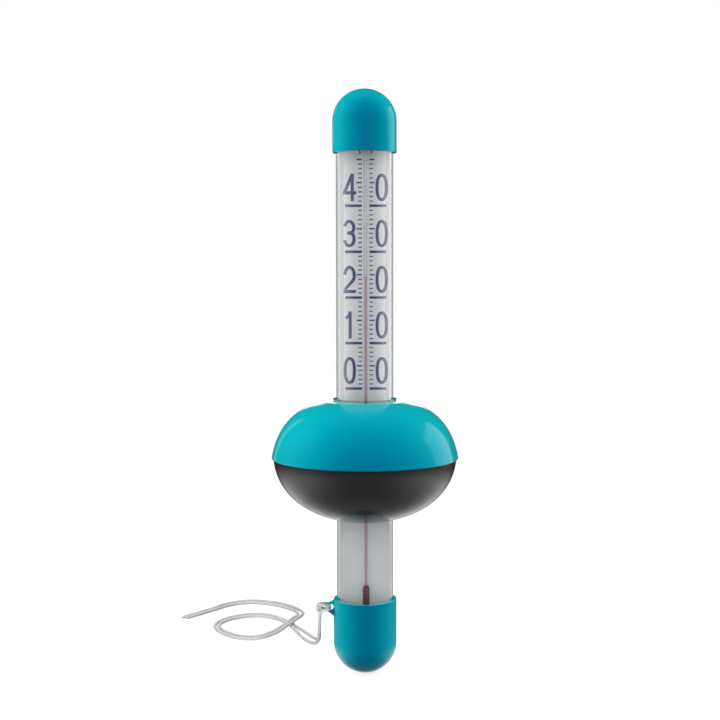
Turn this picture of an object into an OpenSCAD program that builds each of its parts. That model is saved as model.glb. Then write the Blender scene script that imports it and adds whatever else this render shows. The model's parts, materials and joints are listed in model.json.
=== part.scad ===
// Floating pool thermometer: a weighted clear tube with a spirit thermometer
// inside, carried upright by a two-part float and moored by a doubled cord.
// Origin: foot of the lower dome, on the tube's axis. +Z up, millimetres.

/* [Body] */
// Height from the foot of the lower dome to the crown of the upper dome
total_h = 350; // [346:1:356]
// Outside diameter of both dome caps
cap_d = 38; // [38:0.5:39]
// Outside diameter of the clear tube
tube_d = 34; // [33.8:0.1:34.2]
// Wall of the clear tube
tube_wall = 1.3; // [1.2:0.1:1.4]
// Length of the upper cap, crown to rim
top_cap_l = 37.5; // [36:0.5:38]
// Length of the lower cap, foot to rim
bottom_cap_l = 45.5; // [45:0.5:48]

/* [Float] */
// Largest diameter of the float
float_d = 112; // [112:1:120]
// Height of the upper shell's rim, the seam line of the float
seam_z = 131; // [131:0.5:132]
// Height of the flat around the tube on top of the float
float_top_z = 165.3; // [165:0.1:165.6]
// Height of the float's underside at the tube
float_foot_z = 94.6; // [94.5:0.1:95]
// Wall of the float shells
shell_wall = 1.8; // [1.6:0.1:2]

/* [Thermometer] */
// Temperature shown at rest, in degrees C
reading = 24.5; // [5:0.5:45]
// Height of the zero line
zero_z = 172.6; // [172:0.1:174]
// Height of one degree on the scale
degree_h = 2.72; // [2.7:0.01:2.72]
// Width of the scale plate
plate_w = 30.5; // [29:0.5:30.5]
// Outside diameter of the glass stem
stem_d = 2.7; // [2.5:0.1:2.8]
// Outside diameter of the bulb
bulb_d = 4.2; // [4:0.1:4.2]
// Sideways offset of stem and print from the tube's axis
stem_x = 0.6; // [0:0.1:1]

/* [Cord] */
// Diameter of one strand
cord_d = 2.2; // [2:0.1:2.2]
// Thickness of the eye lug
lug_t = 2.6; // [2:0.1:2.6]

/* [Hidden] */
$fn = 96;

turquoise = [0.0, 0.65, 0.70];
dark_grey = [0.20, 0.20, 0.21];
clear = [0.85, 0.95, 0.96, 0.3];
ink = [0.13, 0.15, 0.32];
spirit_red = [0.62, 0.05, 0.16];

// Body
cut = 1;                                // how far a cutting solid overshoots
slip = 0.05;                            // radial gap of a glued or pressed fit
cap_r = cap_d / 2;
tube_r = tube_d / 2;
bore_r = tube_r - tube_wall;
seat_r = tube_r + slip;
seal_h = 2;                             // height of an end seal's groove
shelf_depth = 16;                       // from a cap's crown to its inner shelf
tube_z0 = shelf_depth + seal_h;
tube_z1 = total_h - tube_z0;
dome_wall = 3.6;
dome_r = cap_r - dome_wall;
seal_r = 0.9;                           // cord radius of an end seal
rim_chamfer = 0.5;
collar_h = 1.4;

// Float outline: a superellipse above the seam and another below it
up_z0 = 110;
up_c = 57;
up_m = 2.82;
up_a = (float_d / 2) / pow(1 - pow((seam_z - up_z0) / up_c, up_m), 1 / up_m);
low_z0 = 135;
low_c = 42.1;
low_m = 2.19;
low_a = up_a - 2.2;
outline_steps = 26;
hub_r = cap_r;
skirt_r = float_d / 2 - 1.05;           // inner radius of the upper shell's skirt
neck_r = skirt_r - 0.35;                // lower shell's neck inside the skirt
neck_z = seam_z + 3;
ledge_z = neck_z + 1.6;
hub_seal_h = 2;

// Thermometer
stem_r = stem_d / 2;
bulb_r = bulb_d / 2;
stem_y = -1.7;
stem_bore_r = 0.55;
column_r = 0.5;
bulb_wall = 0.5;
film = 0.02;                            // gap between the spirit and the glass
bulb_z0 = 35;
bulb_z1 = 51.2;
neck_top_z = 54.5;
bore_z0 = neck_top_z - 1;
stem_z1 = 317.5;
meniscus_z = zero_z + reading * degree_h;
plate_y = 0.5;                          // front face of the plate
plate_t = 0.8;
plate_z0 = 27.1;
plate_z1 = 322.9;
holder_h = 4.5;
holder_base = 2;
holder_z0 = plate_z0 - holder_base - 0.1;
holder_r = bore_r - 0.1;
slot_gap = 0.1;
clip_wire_r = 0.35;
clip_r = stem_r + abs(stem_y) + clip_wire_r + 0.05;    // half span of a clip over the stem
clip_hole_r = clip_wire_r + slip;
clip_drop = 2.8;                        // a clip's legs below its arch
clip_z = [105, 150, 314.9];
print_t = 0.1;
degrees_max = 50;
channel = 2.25;                         // half the bare strip behind the stem
tick_len = [2.15, 3.15, 10.05];         // one, five and ten degree marks
tick_h = [0.6, 0.8, 1.3];

// Ballast and cushions
ballast_r = 12.5;
ballast_z1 = 13.5;
pad_r = 14;
cushion_r = 3.4;
cushion_z0 = holder_z0 + holder_base;
cushion_top = bulb_z0 + 1;

// Eye lug and hitch
eye_r = 2.3;
eye_x = -(cap_r + 2.4);
eye_z = 40;
lug_tip_x = eye_x - 2.8;
lug_tip_r = 1.8;
lug_top_z = 45.2;
lug_foot_z = 33.6;
lug_root_x = -cap_r + 1;
cord_r = cord_d / 2;
wrap_x = eye_x - 3.2;
wrap_r = 3.2;
wrap_dz = cord_r + 0.03;
bight_x = lug_tip_x - 1.4;
bight_y = -lug_t / 2 - cord_r - 0.05;
bight_r = 2.9;

// Routes of the two strands, from the hitch to the cut ends
floor_z = 1.1;
route_a = [
    [-27.5, 0.2, 38], [-27.6, 1, 33.5], [-27.9, 7, 26.5], [-28.5, 16.5, 19], [-29.2, 28.5, 12],
    [-30.5, 41, 6.4], [-33, 52.5, 2.6], [-36.8, 61, 1.2], [-41.5, 71.5, floor_z],
    [-45.5, 84.5, floor_z], [-50.5, 100.5, floor_z], [-58, 114, floor_z], [-69, 123.5, floor_z],
    [-79.5, 125, floor_z], [-90.5, 119, floor_z], [-98, 108.5, floor_z], [-98.5, 96.5, floor_z],
    [-92.5, 84, floor_z], [-82, 74, floor_z], [-71.5, 72, 1.4], [-62.5, 79, 2.4], [-55, 92, 3.6],
    [-50.5, 106.5, 3.8], [-47, 121, 2.6], [-48, 135.5, floor_z], [-55.5, 147.5, floor_z],
    [-67.5, 157.5, floor_z], [-82, 162.5, floor_z], [-95.5, 157, floor_z], [-106, 144, floor_z],
    [-115, 132, floor_z], [-124.5, 120, floor_z]
];
route_b = [
    [-27.5, 2.6, 39], [-27.6, 3.6, 34.5], [-27.9, 10, 27.8], [-28.3, 20, 20.8],
    [-28.7, 32.5, 13.8], [-29.3, 45.5, 7.8], [-30.8, 58, 3.6], [-33.5, 69, 1.4],
    [-38, 79.5, floor_z], [-43, 91, floor_z], [-49.5, 104, floor_z], [-56.5, 116, floor_z],
    [-67, 127.5, floor_z], [-80.5, 130, floor_z], [-93.5, 122, floor_z], [-101, 109.5, floor_z],
    [-101.5, 95.5, floor_z], [-95.5, 82, floor_z], [-84, 70, floor_z], [-70.5, 68, 1.4],
    [-59.5, 77, 2.4], [-52.5, 91, 3.6], [-47.5, 105.5, 3.8], [-44, 121, 2.6],
    [-44, 136.5, floor_z], [-51.5, 150.5, floor_z], [-64.5, 162.5, floor_z], [-82, 168.5, floor_z],
    [-98.5, 161, floor_z], [-109, 146, floor_z], [-118, 134, floor_z], [-127.5, 122, floor_z]
];
rings = 40;
sides = 8;

// Outline of a superellipse between two heights, bottom to top
function oval_angle(z, c, m) = asin(pow(abs(z) / c, m / 2));
function oval_above(a, c, m, z0, za, zb) =
    let (t0 = oval_angle(za - z0, c, m), t1 = oval_angle(zb - z0, c, m))
    [for (i = [0 : outline_steps])
        let (t = t0 + (t1 - t0) * i / outline_steps)
        [a * pow(cos(t), 2 / m), z0 + c * pow(sin(t), 2 / m)]];
function oval_below(a, c, m, z0, za, zb) =
    let (t0 = oval_angle(za - z0, c, m), t1 = oval_angle(zb - z0, c, m))
    [for (i = [0 : outline_steps])
        let (t = t0 + (t1 - t0) * i / outline_steps)
        [a * pow(cos(t), 2 / m), z0 - c * pow(sin(t), 2 / m)]];
function oval_z(r, a, c, m) = c * pow(1 - pow(r / a, m), 1 / m);

// Smooth curve through a route's points, at u from 0 to 1
function route_at(p, u) =
    let (n = len(p) - 1, s = min(u * n, n - 0.000001), i = floor(s), t = s - i,
        a = p[max(i - 1, 0)], b = p[i], c = p[i + 1], d = p[min(i + 2, n)])
    0.5 * (2 * b + (c - a) * t + (2 * a - 5 * b + 4 * c - d) * t * t
        + (3 * b - a - 3 * c + d) * t * t * t);
function on_floor(p) = [p[0], p[1], max(p[2], floor_z)];
function unit(v) = v / norm(v);

// Tube of the strand's diameter swept along a route
module strand(route) {
    centres = [for (i = [0 : rings - 1]) on_floor(route_at(route, i / (rings - 1)))];
    points = [for (i = [0 : rings - 1])
        let (along = unit(centres[min(i + 1, rings - 1)] - centres[max(i - 1, 0)]),
            side = unit(cross(along, [0, 0, 1])),
            over = cross(side, along))
        for (k = [0 : sides - 1])
            let (turn = 360 * k / sides)
            centres[i] + cord_r * (cos(turn) * side + sin(turn) * over)];
    walls = [for (i = [0 : rings - 2], k = [0 : sides - 1])
        let (near = i * sides, far = near + sides, next = (k + 1) % sides)
        [near + k, near + next, far + next, far + k]];
    first = [[for (k = [sides - 1 : -1 : 0]) k]];
    last = [[for (k = [0 : sides - 1]) (rings - 1) * sides + k]];
    polyhedron(points, concat(walls, first, last), convexity = 10);
}

// Dome cap standing on its crown, open upwards, with a shelf for the end seal
module dome_cap(length) {
    difference() {
        union() {
            translate([0, 0, cap_r]) sphere(cap_r);
            translate([0, 0, cap_r]) cylinder(r = cap_r, h = length - cap_r - rim_chamfer);
            translate([0, 0, length - rim_chamfer])
                cylinder(r1 = cap_r, r2 = cap_r - rim_chamfer, h = rim_chamfer);
        }
        translate([0, 0, shelf_depth]) cylinder(r = seat_r, h = length);
        intersection() {
            translate([0, 0, cap_r]) sphere(dome_r);
            cylinder(r = cap_r, h = shelf_depth + cut);
        }
    }
}

module end_seal() {
    rotate_extrude() translate([tube_r - seal_r, 0]) circle(seal_r);
}

module top_cap() {
    color(turquoise) translate([0, 0, total_h]) mirror([0, 0, 1]) dome_cap(top_cap_l);
}

module top_seal() {
    color("black") translate([0, 0, tube_z1 + seal_h / 2]) end_seal();
}

module outer_tube() {
    color(clear) translate([0, 0, tube_z0]) difference() {
        cylinder(r = tube_r, h = tube_z1 - tube_z0);
        translate([0, 0, -cut]) cylinder(r = bore_r, h = tube_z1 - tube_z0 + 2 * cut);
    }
}

module collar_ring() {
    color(clear) translate([0, 0, float_top_z]) difference() {
        union() {
            cylinder(r = cap_r, h = collar_h - rim_chamfer);
            translate([0, 0, collar_h - rim_chamfer])
                cylinder(r1 = cap_r, r2 = cap_r - rim_chamfer, h = rim_chamfer);
        }
        translate([0, 0, -cut]) cylinder(r = seat_r, h = collar_h + 2 * cut);
    }
}

// Round end plug of the tube, slotted across its upper face for the plate
module plate_holder() {
    difference() {
        cylinder(r = holder_r, h = holder_h);
        translate([-tube_r, plate_y - slot_gap, holder_base])
            cube([tube_d, plate_t + 2 * slot_gap, holder_h]);
    }
}

module upper_plate_holder() {
    color("white") translate([0, 0, plate_z1 + holder_base + slot_gap]) mirror([0, 0, 1])
        plate_holder();
}

module lower_plate_holder() {
    color("white") translate([0, 0, holder_z0]) plate_holder();
}

module scale_plate() {
    color("white") difference() {
        translate([-plate_w / 2, plate_y, plate_z0]) cube([plate_w, plate_t, plate_z1 - plate_z0]);
        for (z = clip_z, side = [-1, 1])
            translate([stem_x + side * clip_r, plate_y - cut, z - clip_drop])
                rotate([-90, 0, 0]) cylinder(r = clip_hole_r, h = plate_t + 2 * cut);
    }
}

// Degree marks either side of the stem; every fifth and tenth is longer
module scale_markings() {
    color(ink) for (t = [0 : degrees_max]) {
        grade = (t % 10 == 0 && t < degrees_max) ? 2 : (t % 5 == 0 ? 1 : 0);
        for (side = [-1, 1])
            translate([stem_x + side * (channel + tick_len[grade] / 2), plate_y - print_t / 2,
                zero_z + t * degree_h])
                cube([tick_len[grade], print_t, tick_h[grade]], center = true);
    }
}

// Capillary above, bulb below, as outside shape or as bore
module stem_shape(bulb, stem, neck_z, top_z) {
    translate([stem_x, stem_y, 0]) {
        translate([0, 0, bulb_z0]) sphere(bulb);
        translate([0, 0, bulb_z0]) cylinder(r = bulb, h = bulb_z1 - bulb_z0);
        translate([0, 0, bulb_z1]) cylinder(r1 = bulb, r2 = stem, h = neck_z - bulb_z1);
        translate([0, 0, neck_z]) cylinder(r = stem, h = top_z - neck_z);
    }
}

module glass_stem() {
    color(clear) difference() {
        union() {
            stem_shape(bulb_r, stem_r, neck_top_z, stem_z1);
            translate([stem_x, stem_y, stem_z1]) sphere(stem_r);
        }
        stem_shape(bulb_r - bulb_wall, stem_bore_r, bore_z0, stem_z1 - cut);
    }
}

module bulb_liquid() {
    inner = bulb_r - bulb_wall - film;
    color(spirit_red) translate([stem_x, stem_y, 0]) {
        translate([0, 0, bulb_z0]) sphere(inner);
        translate([0, 0, bulb_z0]) cylinder(r = inner, h = bulb_z1 - bulb_z0);
        translate([0, 0, bulb_z1]) cylinder(r1 = inner, r2 = column_r, h = bore_z0 - bulb_z1);
    }
}

module liquid_column() {
    color(spirit_red) translate([stem_x, stem_y, bore_z0])
        cylinder(r = column_r, h = meniscus_z - bore_z0);
}

// Wire clips: an arch over the stem and two legs pushed through the plate
module stem_clips() {
    leg_l = plate_y + plate_t + 0.4;
    color("silver") for (z = clip_z) translate([stem_x, 0, z]) {
        rotate([0, 0, 180]) rotate_extrude(angle = 180) translate([clip_r, 0])
            circle(clip_wire_r, $fn = 24);
        for (side = [-1, 1]) translate([side * clip_r, 0, 0]) {
            translate([0, 0, -clip_drop]) cylinder(r = clip_wire_r, h = clip_drop, $fn = 24);
            translate([0, 0, -clip_drop]) sphere(clip_wire_r, $fn = 24);
            translate([0, 0, -clip_drop]) rotate([-90, 0, 0])
                cylinder(r = clip_wire_r, h = leg_l, $fn = 24);
        }
    }
}

// Soft cup on the lower holder that carries the bulb
module bulb_cushion() {
    color("dimgray") translate([stem_x, stem_y, 0]) difference() {
        intersection() {
            translate([0, 0, cushion_z0 + holder_h - holder_base])
                cylinder(r = cushion_r, h = cushion_top - cushion_z0 - holder_h + holder_base);
            translate([-cushion_r, -cushion_r, 0])
                cube([2 * cushion_r, cushion_r + plate_y - stem_y - slot_gap, cushion_top]);
        }
        translate([0, 0, bulb_z0]) sphere(bulb_r + slip);
        translate([0, 0, bulb_z0]) cylinder(r = bulb_r + slip, h = cushion_top);
    }
}

module float_upper_shell() {
    ia = up_a - shell_wall;
    ic = up_c - shell_wall;
    inner = oval_above(ia, ic, up_m, up_z0, ledge_z, up_z0 + oval_z(hub_r, ia, ic, up_m));
    color(turquoise) rotate_extrude() polygon(concat(
        oval_above(up_a, up_c, up_m, up_z0, seam_z, float_top_z),
        [[seat_r, float_top_z], [seat_r, seam_z + hub_seal_h], [hub_r, seam_z + hub_seal_h]],
        [for (i = [outline_steps : -1 : 0]) inner[i]],
        [[skirt_r, ledge_z], [skirt_r, seam_z]]
    ));
}

module float_lower_shell() {
    ia = low_a - shell_wall;
    ic = low_c - shell_wall;
    outer = oval_below(low_a, low_c, low_m, low_z0, seam_z, float_foot_z);
    inner = oval_below(ia, ic, low_m, low_z0, seam_z, low_z0 - oval_z(hub_r, ia, ic, low_m));
    color(dark_grey) rotate_extrude() polygon(concat(
        [[seat_r, float_foot_z]],
        [for (i = [outline_steps : -1 : 0]) outer[i]],
        [[neck_r, seam_z], [neck_r, neck_z], [inner[0][0], neck_z]],
        inner,
        [[hub_r, seam_z], [seat_r, seam_z]]
    ));
}

module float_rim_seal() {
    r = 0.75;
    color("black") translate([0, 0, (neck_z + ledge_z) / 2]) rotate_extrude()
        translate([neck_r - r - 0.1, 0]) circle(r, $fn = 32);
}

module float_hub_seal() {
    color("black") translate([0, 0, seam_z + hub_seal_h / 2]) rotate_extrude()
        translate([(seat_r + hub_r) / 2, 0]) circle((hub_r - seat_r) / 2 - slip, $fn = 32);
}

// Outline of the ear, seen along its eye
module lug_outline() {
    hull() {
        translate([lug_tip_x, eye_z]) circle(lug_tip_r, $fn = 48);
        polygon([[lug_root_x, lug_foot_z], [lug_root_x, lug_top_z], [lug_root_x + 1, eye_z]]);
    }
}

module bottom_cap() {
    color(turquoise) difference() {
        union() {
            dome_cap(bottom_cap_l);
            difference() {
                translate([0, lug_t / 2, 0]) rotate([90, 0, 0]) linear_extrude(lug_t) lug_outline();
                cylinder(r = cap_r - 0.6, h = total_h);
            }
        }
        translate([eye_x, lug_t, eye_z]) rotate([90, 0, 0]) cylinder(r = eye_r, h = 2 * lug_t);
    }
}

module bottom_seal() {
    color("black") translate([0, 0, tube_z0 - seal_h / 2]) end_seal();
}

module ballast_weight() {
    color("gray") intersection() {
        translate([0, 0, cap_r]) sphere(dome_r - 0.1);
        cylinder(r = ballast_r, h = ballast_z1);
    }
}

module ballast_pad() {
    color("lightgray") translate([0, 0, ballast_z1])
        cylinder(r = pad_r, h = holder_z0 - ballast_z1);
}

// Lark's head on the web of the eye: two wraps and the bight across them
module cord_hitch() {
    color("white") union() {
        for (side = [-1, 1]) translate([wrap_x, 0, eye_z + side * wrap_dz])
            rotate_extrude() translate([wrap_r, 0]) circle(cord_r, $fn = 32);
        translate([bight_x, bight_y, eye_z]) rotate([90, -90, 0])
            rotate_extrude(angle = 180) translate([bight_r, 0]) circle(cord_r, $fn = 32);
    }
}

module cord_strand_a() {
    color("white") strand(route_a);
}

module cord_strand_b() {
    color("white") strand(route_b);
}

top_cap();
top_seal();
outer_tube();
collar_ring();
upper_plate_holder();
scale_plate();
scale_markings();
lower_plate_holder();
glass_stem();
bulb_liquid();
liquid_column();
stem_clips();
bulb_cushion();
float_upper_shell();
float_lower_shell();
float_rim_seal();
float_hub_seal();
bottom_cap();
bottom_seal();
ballast_weight();
ballast_pad();
cord_hitch();
cord_strand_a();
cord_strand_b();
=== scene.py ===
import json
import math

import bmesh
import bpy
import numpy as np
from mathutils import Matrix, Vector

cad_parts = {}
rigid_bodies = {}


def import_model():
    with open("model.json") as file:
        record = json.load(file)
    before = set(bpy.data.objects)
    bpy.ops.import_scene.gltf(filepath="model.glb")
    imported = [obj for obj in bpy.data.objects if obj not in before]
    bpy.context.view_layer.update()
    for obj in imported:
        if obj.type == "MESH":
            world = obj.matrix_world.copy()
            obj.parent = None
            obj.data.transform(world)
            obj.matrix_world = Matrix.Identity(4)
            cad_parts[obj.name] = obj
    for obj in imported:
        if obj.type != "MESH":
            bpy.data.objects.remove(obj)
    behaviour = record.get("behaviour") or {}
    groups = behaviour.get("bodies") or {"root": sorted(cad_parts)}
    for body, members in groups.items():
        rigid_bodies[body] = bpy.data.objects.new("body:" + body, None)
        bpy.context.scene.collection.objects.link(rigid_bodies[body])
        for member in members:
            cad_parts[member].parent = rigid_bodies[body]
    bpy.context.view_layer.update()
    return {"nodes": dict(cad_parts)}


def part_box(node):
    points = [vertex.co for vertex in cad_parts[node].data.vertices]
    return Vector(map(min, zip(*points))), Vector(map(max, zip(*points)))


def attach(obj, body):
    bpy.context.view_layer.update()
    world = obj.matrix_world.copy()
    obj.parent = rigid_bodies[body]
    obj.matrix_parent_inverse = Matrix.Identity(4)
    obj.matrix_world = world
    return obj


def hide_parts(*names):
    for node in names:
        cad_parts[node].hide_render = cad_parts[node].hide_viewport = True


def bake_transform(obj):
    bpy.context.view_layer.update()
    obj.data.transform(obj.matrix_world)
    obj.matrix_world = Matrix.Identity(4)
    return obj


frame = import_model()

# Everything below is in millimetres until a mesh is made.
MM = 0.001
TURNS = 160                     # segments round a turned piece
FLOAT_TURNS = 224


def low(node):
    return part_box(node)[0] / MM


def high(node):
    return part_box(node)[1] / MM


# Dimensions read from the frame
CAP_R = high("top_cap").x
CROWN_Z = high("top_cap").z
TOP_RIM_Z = low("top_cap").z
BOTTOM_RIM_Z = high("bottom_cap").z
TUBE_R = high("outer_tube").x
TUBE_Z = (low("outer_tube").z, high("outer_tube").z)
COLLAR_Z = (low("collar_ring").z, high("collar_ring").z)
FLOAT_R = high("float_upper_shell").x
SEAM_Z = low("float_upper_shell").z
FLOAT_TOP_Z = high("float_upper_shell").z
FLOAT_FOOT_Z = low("float_lower_shell").z
NECK_Z = high("float_lower_shell").z
PLATE_Y = low("scale_plate").y
STEM_X = (low("glass_stem").x + high("glass_stem").x) / 2
STEM_Y = (low("glass_stem").y + high("glass_stem").y) / 2
STEM_TOP_Z = high("glass_stem").z
BULB_R = (high("glass_stem").x - low("glass_stem").x) / 2
BULB_FOOT_Z = low("glass_stem").z
COLUMN_Z = (low("liquid_column").z, high("liquid_column").z)

# Dimensions of the design that the boxes don't show
TUBE_WALL = 1.3
SEAT_R = TUBE_R + 0.05
CAP_SHELF = 16.0                # a cap's crown to the shelf that its seal sits on
CAP_DOME_WALL = 3.6
SHELL_WALL = 1.8
HUB_R = CAP_R
HUB_SEAL_H = 2.0
LEDGE_Z = NECK_Z + 1.6
SKIRT_R = FLOAT_R - 1.05
NECK_R = SKIRT_R - 0.35
# The float's two superellipses: middle height, half height and power, then half width
UP_Z0, UP_C, UP_M = 110.0, 57.0, 2.82
LOW_Z0, LOW_C, LOW_M = 135.0, 42.1, 2.19
UP_A = FLOAT_R / (1 - ((SEAM_Z - UP_Z0) / UP_C) ** UP_M) ** (1 / UP_M)
LIP = 2.2                       # how far the upper shell stands out over the lower
LOW_A = UP_A - LIP
STEM_R, STEM_BORE_R = 1.35, 0.55
BULB_WALL = 0.5
BULB_TOP_Z = 51.2
BULB_NECK_Z = 54.5
WETTED = 0.01                   # how far the spirit reaches into the glass, so no air film shows
ZERO_Z, DEGREE_H = 172.6, 2.72  # height of the zero line and of one degree
CHANNEL = 2.25                  # half the bare strip behind the stem
EYE_X, EYE_Z, EYE_R = -(CAP_R + 2.4), 40.0, 2.3
LUG_T = 2.6                     # thickness of the ear round the eye

# Camera
CAMERA_AT = (-2.75, -800.2, 246.5)
CAMERA_PITCH = 4.06             # degrees below the horizon
CAMERA_ROLL = 0.10
CAMERA_LENS = 67.1

# Cord
CORD_R = 1.1
FLOOR_CORD_Z = 1.1
ROUTE_A = [
    (-27.5, 0.2, 38), (-27.6, 1, 33.5), (-27.9, 7, 26.5), (-28.5, 16.5, 19), (-29.2, 28.5, 12),
    (-30.5, 41, 6.4), (-33, 52.5, 2.6), (-36.8, 61, 1.2), (-41.5, 71.5, 1.1), (-45.5, 84.5, 1.1),
    (-50.5, 100.5, 1.1), (-58, 114, 1.1), (-69, 123.5, 1.1), (-79.5, 125, 1.1), (-90.5, 119, 1.1),
    (-98, 108.5, 1.1), (-98.5, 96.5, 1.1), (-92.5, 84, 1.1), (-82, 74, 1.1), (-71.5, 72, 1.4),
    (-62.5, 79, 2.4), (-55, 92, 3.6), (-50.5, 106.5, 3.8), (-47, 121, 2.6), (-48, 135.5, 1.1),
    (-55.5, 147.5, 1.1), (-67.5, 157.5, 1.1), (-82, 162.5, 1.1), (-95.5, 157, 1.1), (-106, 144, 1.1),
    (-115, 132, 1.1), (-124.5, 120, 1.1),
]
ROUTE_B = [
    (-27.5, 2.6, 39), (-27.6, 3.6, 34.5), (-27.9, 10, 27.8), (-28.3, 20, 20.8), (-28.7, 32.5, 13.8),
    (-29.3, 45.5, 7.8), (-30.8, 58, 3.6), (-33.5, 69, 1.4), (-38, 79.5, 1.1), (-43, 91, 1.1),
    (-49.5, 104, 1.1), (-56.5, 116, 1.1), (-67, 127.5, 1.1), (-80.5, 130, 1.1), (-93.5, 122, 1.1),
    (-101, 109.5, 1.1), (-101.5, 95.5, 1.1), (-95.5, 82, 1.1), (-84, 70, 1.1), (-70.5, 68, 1.4),
    (-59.5, 77, 2.4), (-52.5, 91, 3.6), (-47.5, 105.5, 3.8), (-44, 121, 2.6), (-44, 136.5, 1.1),
    (-51.5, 150.5, 1.1), (-64.5, 162.5, 1.1), (-82, 168.3, 1.1), (-98.5, 161, 1.1), (-109, 146, 1.1),
    (-118, 134, 1.1), (-127.5, 122, 1.1),
]
# Lark's head through the eye, from the start of strand A to the start of strand B
HITCH_ROUTE = [
    (-27.5, 0.2, 38), (-27.6, -1, 38.9), (-27.2, -1.9, 40), (-27.5, -0.7, 40.9),
    (-27.9, 1.2, 40), (-26.4, 2.9, 39), (-24, 3.15, 38.87), (-22.2, 2.1, 38.87),
    (-21.4, 0, 38.87), (-22.2, -2.1, 38.87), (-24, -3.15, 38.75), (-25.6, -3.1, 38.2),
    (-27.2, -3, 37.5), (-28.5, -2.8, 38.4), (-28.9, -2.7, 40), (-28.5, -2.8, 41.6),
    (-27.2, -3, 42.5), (-25.6, -3.1, 41.8), (-24, -3.15, 41.25), (-22.2, -2.1, 41.13),
    (-21.4, 0, 41.13), (-22.2, 2.1, 41.13), (-24, 3.15, 41.13), (-26.2, 3.2, 41),
    (-27.5, 3.1, 40.2), (-27.5, 2.6, 39),
]


# ---------------------------------------------------------------- mesh helpers


def mesh_object(name, vertices, faces, smooth_angle=32.0):
    """Object from points in millimetres; edges sharper than the angle stay crisp."""
    mesh = bpy.data.meshes.new(name)
    mesh.from_pydata([tuple(MM * c for c in v) for v in vertices], [], faces)
    return finish_mesh(name, mesh, smooth_angle)


def finish_mesh(name, mesh, smooth_angle=32.0):
    """Object in the scene from a mesh, shaded smooth but for its sharp edges."""
    mesh.validate()
    mesh.shade_smooth()
    mesh.set_sharp_from_angle(angle=math.radians(smooth_angle))
    obj = bpy.data.objects.new(name, mesh)
    bpy.context.scene.collection.objects.link(obj)
    return obj


def face_outward(obj):
    """Turns every face of a closed piece outward."""
    shape = bmesh.new()
    shape.from_mesh(obj.data)
    bmesh.ops.recalc_face_normals(shape, faces=shape.faces)
    shape.to_mesh(obj.data)
    shape.free()


def outline(corners, closed=True):
    """Outline in (r, z) from (r, z, fillet radius) corners; support points keep the flats flat."""
    steps, support = 5, 0.3
    points = []
    count = len(corners)
    for i, (r, z, fillet) in enumerate(corners):
        here = Vector((r, z))
        if fillet <= 0 or (not closed and i in (0, count - 1)):
            points.append(here)
            continue
        to_before = Vector(corners[i - 1][:2]) - here
        to_after = Vector(corners[(i + 1) % count][:2]) - here
        before, after = to_before.normalized(), to_after.normalized()
        half = before.angle(after) / 2
        reach = fillet / math.tan(half)
        centre = here + (before + after).normalized() * (fillet / math.sin(half))
        first = here + before * reach - centre
        last = here + after * reach - centre
        sweep = first.angle_signed(last)
        if to_before.length > 2 * (reach + support):
            points.append(here + before * (reach + support))
        for k in range(steps + 1):
            turn = -sweep * k / steps
            c, s = math.cos(turn), math.sin(turn)
            points.append(centre + Vector((first.x * c - first.y * s, first.x * s + first.y * c)))
        if to_after.length > 2 * (reach + support):
            points.append(here + after * (reach + support))
    return [(p.x, p.y) for p in points]


def arc(centre_z, radius, start, stop, steps):
    """Points (r, z) on a circle about the axis; angles in degrees above the horizon."""
    turns = [math.radians(start + (stop - start) * k / steps) for k in range(steps + 1)]
    return [(max(0.0, radius * math.cos(t)), centre_z + radius * math.sin(t)) for t in turns]


def lathe(name, profiles, axis=(0.0, 0.0), turns=TURNS):
    """Turn outlines about a vertical axis. An outline that starts on the axis ends on it; others close."""
    on_axis = 1e-6
    vertices, faces = [], []
    for profile in profiles:
        closed = profile[0][0] > on_axis
        rings = []
        for r, z in profile:
            start = len(vertices)
            if r <= on_axis:
                vertices.append((axis[0], axis[1], z))
                rings.append([start] * turns)
                continue
            for k in range(turns):
                t = 2 * math.pi * k / turns
                vertices.append((axis[0] + r * math.cos(t), axis[1] + r * math.sin(t), z))
            rings.append([start + k for k in range(turns)])
        pairs = list(zip(rings, rings[1:])) + ([(rings[-1], rings[0])] if closed else [])
        for a, b in pairs:
            for k in range(turns):
                n = (k + 1) % turns
                face = [a[k], a[n], b[n], b[k]]
                face = [v for i, v in enumerate(face) if v != face[i - 1]]
                if len(face) > 2:
                    faces.append(face)
    return mesh_object(name, vertices, faces)


def oval(a, c, m, z0, za, zb):
    """Superellipse outline between two heights on one side of its middle height."""
    steps = 60
    side = 1 if za + zb > 2 * z0 else -1
    t0 = math.asin((abs(za - z0) / c) ** (m / 2))
    t1 = math.asin((abs(zb - z0) / c) ** (m / 2))
    turns = [t0 + (t1 - t0) * k / steps for k in range(steps + 1)]
    return [(a * math.cos(t) ** (2 / m), z0 + side * c * math.sin(t) ** (2 / m)) for t in turns]


def oval_height(r, a, c, m):
    """Height of a superellipse above its middle at a radius."""
    return c * (1 - (r / a) ** m) ** (1 / m)


def catmull(points, spacing):
    """Smooth curve through the points, resampled about `spacing` apart."""
    steps = 24
    p = np.array(points, float)
    fine = []
    for i in range(len(p) - 1):
        a, b, c, d = p[max(i - 1, 0)], p[i], p[i + 1], p[min(i + 2, len(p) - 1)]
        for t in np.linspace(0, 1, steps, endpoint=False):
            fine.append(0.5 * (2 * b + (c - a) * t + (2 * a - 5 * b + 4 * c - d) * t ** 2
                               + (3 * b - a - 3 * c + d) * t ** 3))
    fine.append(p[-1])
    fine = np.array(fine)
    along = np.concatenate([[0], np.cumsum(np.linalg.norm(np.diff(fine, axis=0), axis=1))])
    at = np.linspace(0, along[-1], int(along[-1] / spacing) + 1)
    return np.stack([np.interp(at, along, fine[:, k]) for k in range(3)], axis=1), at


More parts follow.
